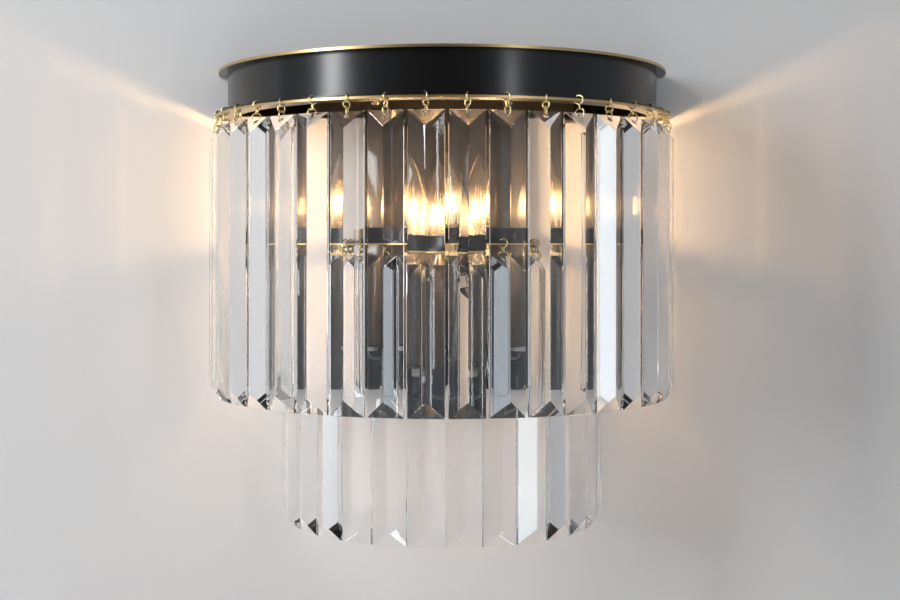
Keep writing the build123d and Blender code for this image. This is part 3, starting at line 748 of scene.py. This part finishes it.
for node, material in [
    ("top_plate", black_paint("top plate paint", plate_rim - RIM_DEPTH)),
    ("outer_rail", black_paint("outer rail paint", outer_rim - RIM_DEPTH, outer_lip)),
    ("inner_rail", black_paint("inner rail paint", inner_rim - RIM_DEPTH, inner_lip)),
    ("drum_band", SATIN),
    ("inner_band", SATIN),
    ("inner_back_strip", SATIN),
    ("lamp_bracket", SATIN),
]:
    mesh = to_mesh(softened(node, 0.0), node + "_painted")
    piece(node + "_painted", mesh, material, "black_paint", node)

piece("wall_plate_lacquered", to_mesh(softened("wall_plate", 0.6 * MM, segments=2), "wall_plate_lacquered"),
      GLOSS, "black_gloss", "wall_plate")

for node, material, soften, round_below in [
    ("wall_strap", ZINC, 0.25, 32),
    ("strap_screws", ZINC, 0.25, 32),
    ("cap_nuts", NICKEL, 0.35, 32),
    ("plate_screws", SCREW_BLACK, 0.3, 32),
    ("earth_screw", BRASS, 0.3, 32),
    ("terminal_block", WHITE, 0.5, 32),
    ("lamp_holders", WHITE, 0.6, 32),
    ("holder_nipples", ZINC, 0.3, 32),
    ("plate_grommet", RUBBER, 0.5, 32),
    ("lamp_leads", PVC, 0.0, 66),
]:
    work = softened(node, soften * MM, corner=radians(40), segments=2)
    mesh = to_mesh(work, node + "_finished", smooth=False)
    smooth_by_angle(mesh, radians(round_below))
    piece(node + "_finished", mesh, material, SLOTS[node], node)

drum_back_wings(SATIN)
chains(BRASS)
bulbs(BULB_GLASS, FILAMENT, NICKEL)
caps(CAP)
sleeves(SLEEVE)

for joint in frame["joints"]:
    prism = joint["child"]
    mesh = to_mesh(softened(prism, PRISM_BEVEL), "crystal_" + prism, smooth=False)
    piece("crystal_" + prism, mesh, CRYSTAL, "crystal", prism, body=prism)


# ---------------------------------------------------------------- room, lights and camera

WALL_BEHIND = 1.0 * MM
WALL_COLOR = (0.72, 0.705, 0.695)
FLOOR_COLOR = (0.72, 0.71, 0.70)
FLOOR_LEVEL = -1.3
FLOOR_NEAR = -3.0
FLOOR_FAR = 2.0
ROOM_HALF_WIDTH = 1.9
ROOM_AHEAD = (0.10, 0.10, 0.105)
ROOM_SIDES = (0.38, 0.42, 0.46)


def sheet_of_room(name, corners, color, one_sided):
    """A plain painted surface of the room with fine roller texture.

    A one-sided sheet is clear from behind and to the rear lamp, so that the light's back can be seen.
    """
    mesh = bpy.data.meshes.new(name)
    mesh.from_pydata(corners, [], [(0, 1, 2, 3)])
    finish = Finish(name + " paint", color)
    finish.uneven(0.75, 0.9, patch=5.0, grain=420.0, bump=0.12, depth=0.0002)
    if one_sided:
        mix = finish.tree.nodes.new("ShaderNodeMixShader")
        side = finish.tree.nodes.new("ShaderNodeNewGeometry")
        path = finish.tree.nodes.new("ShaderNodeLightPath")
        clear = finish.tree.nodes.new("ShaderNodeBsdfTransparent")
        let_through = maths(finish.tree, "MAXIMUM", side.outputs["Backfacing"], path.outputs["Is Shadow Ray"])
        finish.tree.links.new(let_through, mix.inputs[0])
        finish.tree.links.new(finish.shader.outputs[0], mix.inputs[1])
        finish.tree.links.new(clear.outputs[0], mix.inputs[2])
        finish.tree.links.new(mix.outputs[0], finish.out.inputs["Surface"])
    mesh.materials.append(finish.material)
    thing = bpy.data.objects.new(name, mesh)
    bpy.context.scene.collection.objects.link(thing)


sheet_of_room(
    "room_wall",
    [(-ROOM_HALF_WIDTH, WALL_BEHIND, FLOOR_LEVEL), (ROOM_HALF_WIDTH, WALL_BEHIND, FLOOR_LEVEL),
     (ROOM_HALF_WIDTH, WALL_BEHIND, ROOM_HALF_WIDTH), (-ROOM_HALF_WIDTH, WALL_BEHIND, ROOM_HALF_WIDTH)],
    WALL_COLOR, True,
)
sheet_of_room(
    "room_floor",
    [(-ROOM_HALF_WIDTH, FLOOR_NEAR, FLOOR_LEVEL), (ROOM_HALF_WIDTH, FLOOR_NEAR, FLOOR_LEVEL),
     (ROOM_HALF_WIDTH, FLOOR_FAR, FLOOR_LEVEL), (-ROOM_HALF_WIDTH, FLOOR_FAR, FLOOR_LEVEL)],
    FLOOR_COLOR, False,
)


def soft_lamp(name, place, aim, size, power, color):
    """A rectangular lamp that lights and is mirrored, but isn't seen itself."""
    lamp = bpy.data.lights.new(name, "AREA")
    lamp.shape = "RECTANGLE"
    lamp.size = size[0]
    lamp.size_y = size[1]
    lamp.energy = power
    lamp.color = color
    thing = bpy.data.objects.new(name, lamp)
    bpy.context.scene.collection.objects.link(thing)
    thing.location = place
    thing.rotation_euler = (Vector(aim) - Vector(place)).to_track_quat("-Z", "Y").to_euler()
    thing.visible_camera = False


MIDDLE = (0.0, -0.08, -0.14)
COOL_WHITE = (0.96, 0.98, 1.0)
for name, place, size, watts, color in [
    ("left_key", (-1.751, -1.159, 0.50), (0.32, 1.5), 34.0, COOL_WHITE),
    ("right_strip", (1.24, -1.90, -0.08), (0.14, 1.0), 5.0, COOL_WHITE),  # mirrored by an upper face
    ("low_strip", (0.717, -3.00, -0.785), (0.07, 0.44), 0.9, (0.75, 0.92, 1.0)),  # and by a lower one
    ("rear_softbox", (0.0, 2.2, 1.0), (1.6, 1.2), 45.0, COOL_WHITE),  # lights only the back
]:
    soft_lamp(name, place, MIDDLE, size, watts, color)

world = bpy.data.worlds.new("room light")
world.use_nodes = True
sky = world.node_tree
direction = sky.nodes.new("ShaderNodeTexCoord").outputs["Generated"]
across = sky.nodes.new("ShaderNodeSeparateXYZ")
sky.links.new(direction, across.inputs[0])
sideways = ranged(sky, maths(sky, "ABSOLUTE", across.outputs[0]), 0.2, 0.85, 0.0, 1.0)
tint = sky.nodes.new("ShaderNodeMix")
tint.data_type = "RGBA"
sky.links.new(sideways, tint.inputs[0])
tint.inputs[6].default_value = (*ROOM_AHEAD, 1.0)
tint.inputs[7].default_value = (*ROOM_SIDES, 1.0)
sky.links.new(tint.outputs[2], sky.nodes["Background"].inputs["Color"])
bpy.context.scene.world = world

camera = bpy.data.cameras.new("camera")
camera.sensor_width = SENSOR
camera.lens = FOCAL_PIXELS * SENSOR / IMAGE_WIDTH
camera.shift_x = -PRINCIPAL_RIGHT
camera.shift_y = PRINCIPAL_UP
camera_object = bpy.data.objects.new("camera", camera)
camera_object.location = CAMERA_PLACE
camera_object.rotation_euler = (radians(90), 0, 0)
bpy.context.scene.collection.objects.link(camera_object)
bpy.context.scene.camera = camera_object

scene = bpy.context.scene
scene.view_settings.view_transform = "Standard"
scene.cycles.max_bounces = BOUNCES
scene.cycles.transmission_bounces = BOUNCES
scene.cycles.transparent_max_bounces = BOUNCES
